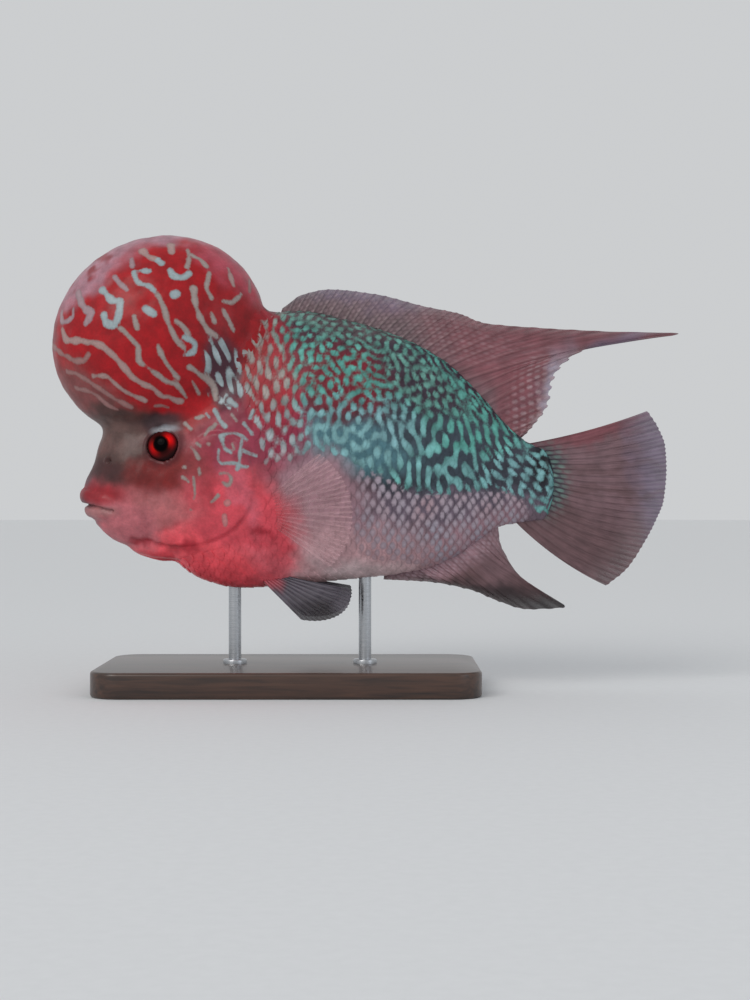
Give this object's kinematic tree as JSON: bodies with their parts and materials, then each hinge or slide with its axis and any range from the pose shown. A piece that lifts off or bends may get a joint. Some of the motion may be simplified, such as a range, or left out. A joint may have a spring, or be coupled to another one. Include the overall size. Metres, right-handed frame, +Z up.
{
  "type": "flowerhorn cichlid display model",
  "caption": "Life-size flowerhorn cichlid with a large nuchal hump, trailing dorsal fin and fan tail, held on two short rods over a flat base.",
  "frame": {"origin": "centre of the stand base's underside, on the surface the model stands on", "axes": "+X from snout to tail, +Y towards the fish's right side, +Z up"},
  "size_m": [0.2494, 0.084, 0.1806],
  "materials": {
    "hump_skin": "wet red skin with pale worm marks",
    "face_skin": "wet rose skin, brown over the snout",
    "flank_scales": "overlapping scales with turquoise pearl marks on plum black",
    "fin": "thin plum fin with raised rays",
    "clear_fin": "clear grey fin with raised rays",
    "eye": "clear wet eye, red iris and black pupil",
    "stand_wood": "dark satin wood",
    "stand_steel": "brushed"
  },
  "bodies": {
    "root": {"nuchal_hump": "hump_skin", "head": "face_skin", "lower_jaw": "face_skin", "gill_cover_left": "face_skin", "gill_cover_right": "face_skin", "torso": "flank_scales", "tail_stalk": "flank_scales", "dorsal_fin": "fin", "dorsal_fin_streamer": "fin", "anal_fin": "fin", "caudal_fin": "fin", "pectoral_fin_left": "clear_fin", "pectoral_fin_right": "clear_fin", "pelvic_fin_left": "fin", "pelvic_fin_right": "fin", "eye_left": "eye", "eye_right": "eye", "stand_base": "stand_wood", "stand_rod_front": "stand_steel", "stand_rod_rear": "stand_steel"}
  },
  "joints": []
}
